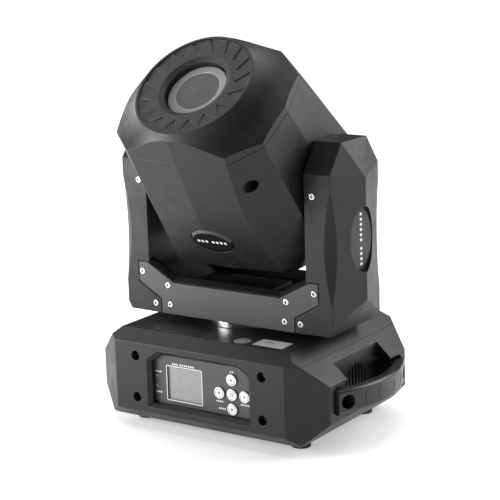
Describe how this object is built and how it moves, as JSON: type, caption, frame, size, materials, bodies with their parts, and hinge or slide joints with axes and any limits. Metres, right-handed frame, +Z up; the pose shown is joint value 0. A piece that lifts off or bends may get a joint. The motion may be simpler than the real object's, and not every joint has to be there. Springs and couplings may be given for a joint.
{
  "type": "moving head light",
  "caption": "Moving head stage light: a low base with side handles, a yoke that pans and a faceted head that tilts, with a display and push buttons.",
  "frame": {"origin": "on the pan axis, at the plane that the rubber feet stand on", "axes": "+Z up along the pan axis, -Y towards the control panel, +X towards the right arm as seen from the front"},
  "size_m": [0.322, 0.2373, 0.4015],
  "materials": {
    "moulded_black": "fine textured moulding",
    "moulded_gloss": "smooth",
    "panel_coat": "powder coat",
    "black_coat": "powder coat",
    "bright_steel": "bright zinc",
    "polished": "polished",
    "rubber": "matt",
    "lens_glass": "clear",
    "window": "clear",
    "ring_grey": "satin",
    "button_silver": "metallised",
    "board": "solder mask",
    "lamp": "clear",
    "aluminium": "satin",
    "badge": "smooth",
    "belt": "matt",
    "wheel": "black anodised"
  },
  "bodies": {
    "base": {"base_housing": "moulded_black", "base_cheek_right": "moulded_black", "base_cheek_left": "moulded_black", "handle_right": "moulded_black", "handle_left": "moulded_black", "bottom_plate": "black_coat", "rubber_feet": "rubber", "base_screws": "bright_steel", "control_panel": "moulded_black", "display_window": "window", "indicator_lamps": "lamp", "circuit_boards": "board", "rear_panel": "black_coat", "power_inlet": "moulded_gloss", "dmx_sockets": "ring_grey", "power_supply": "aluminium", "pan_motor": "black_coat", "pan_belt": "belt", "pan_bearing": "bright_steel"},
    "pan_motor_pulley": {"pan_motor_pulley": "aluminium"},
    "yoke": {"arm_cover_right": "moulded_black", "arm_cover_left": "moulded_black", "arm_badges": "badge", "bridge_panels": "panel_coat", "yoke_screws": "bright_steel", "yoke_tray": "moulded_black", "yoke_frame": "black_coat", "pan_shaft": "polished", "pan_pulley": "aluminium", "tilt_motor": "black_coat", "tilt_belt": "belt", "tilt_bearings": "bright_steel"},
    "tilt_motor_pulley": {"tilt_motor_pulley": "aluminium"},
    "head": {"head_shell_upper": "moulded_black", "head_shell_lower": "moulded_black", "head_front_cover": "moulded_black", "head_rear_cover": "moulded_black", "front_disc": "moulded_black", "lens_ring": "ring_grey", "front_lens": "lens_glass", "head_badges": "badge", "head_screws": "bright_steel", "tilt_axles": "bright_steel", "tilt_pulley": "aluminium", "head_chassis": "aluminium", "led_engine": "aluminium", "heatsink": "aluminium", "head_fan_frame": "moulded_black", "head_motors": "black_coat"},
    "head_fan": {"head_fan_rotor": "moulded_gloss"},
    "colour_wheel": {"colour_wheel": "wheel"},
    "gobo_wheel": {"gobo_wheel": "wheel"},
    "focus_carriage": {"focus_carriage": "wheel", "focus_lens": "lens_glass"},
    "focus_screw": {"focus_screw": "bright_steel"},
    "button_up": {"button_up": "button_silver"},
    "button_down": {"button_down": "button_silver"},
    "button_left": {"button_left": "button_silver"},
    "button_right": {"button_right": "button_silver"},
    "button_enter": {"button_enter": "button_silver"}
  },
  "joints": [
    {"name": "pan", "type": "hinge", "parent": "base", "child": "yoke", "pos_m": [0, 0, 0.1045], "axis": [0, 0, 1], "range_deg": [-270, 270]},
    {"name": "pan_motor_turn", "type": "hinge", "parent": "base", "child": "pan_motor_pulley", "pos_m": [0.062, 0, 0.087], "axis": [0, 0, 1], "range_deg": [-1892, 1892]},
    {"name": "tilt", "type": "hinge", "parent": "yoke", "child": "head", "pos_m": [0, 0, 0.2607], "axis": [1, 0, 0], "range_deg": [-156.4, 73.6]},
    {"name": "tilt_motor_turn", "type": "hinge", "parent": "yoke", "child": "tilt_motor_pulley", "pos_m": [-0.124, 0, 0.165], "axis": [1, 0, 0], "range_deg": [-784, 370]},
    {"name": "head_fan_spin", "type": "hinge", "parent": "head", "child": "head_fan", "pos_m": [0, 0.05819, 0.19469], "axis": [0, -0.6613, 0.7501], "continuous": true},
    {"name": "colour_wheel_turn", "type": "hinge", "parent": "head", "child": "colour_wheel", "pos_m": [0, 0.0218, 0.29192], "axis": [0, -0.6613, 0.7501], "continuous": true},
    {"name": "gobo_wheel_turn", "type": "hinge", "parent": "head", "child": "gobo_wheel", "pos_m": [0, -0.03966, 0.24973], "axis": [0, -0.6613, 0.7501], "continuous": true},
    {"name": "focus_slide", "type": "slide", "parent": "head", "child": "focus_carriage", "axis": [0, -0.6613, 0.7501], "range_m": [-0.01, 0.018]},
    {"name": "focus_screw_turn", "type": "hinge", "parent": "head", "child": "focus_screw", "pos_m": [-0.038, -0.03307, 0.29821], "axis": [0, -0.6613, 0.7501], "range_deg": [-452, 812]},
    {"name": "press_up", "type": "slide", "parent": "base", "child": "button_up", "axis": [0, 1, 0], "range_m": [0, 0.0008], "stiffness_N_per_m": 500, "springref_m": -0.002},
    {"name": "press_down", "type": "slide", "parent": "base", "child": "button_down", "axis": [0, 1, 0], "range_m": [0, 0.0008], "stiffness_N_per_m": 500, "springref_m": -0.002},
    {"name": "press_left", "type": "slide", "parent": "base", "child": "button_left", "axis": [0, 1, 0], "range_m": [0, 0.0008], "stiffness_N_per_m": 500, "springref_m": -0.002},
    {"name": "press_right", "type": "slide", "parent": "base", "child": "button_right", "axis": [0, 1, 0], "range_m": [0, 0.0008], "stiffness_N_per_m": 500, "springref_m": -0.002},
    {"name": "press_enter", "type": "slide", "parent": "base", "child": "button_enter", "axis": [0, 1, 0], "range_m": [0, 0.0008], "stiffness_N_per_m": 500, "springref_m": -0.002}
  ],
  "couplings": [
    {"joint": "pan_motor_turn", "follows": "pan", "ratio": 7},
    {"joint": "tilt_motor_turn", "follows": "tilt", "ratio": 5},
    {"joint": "focus_screw_turn", "follows": "focus_slide", "rad_per_m": 785.4}
  ]
}
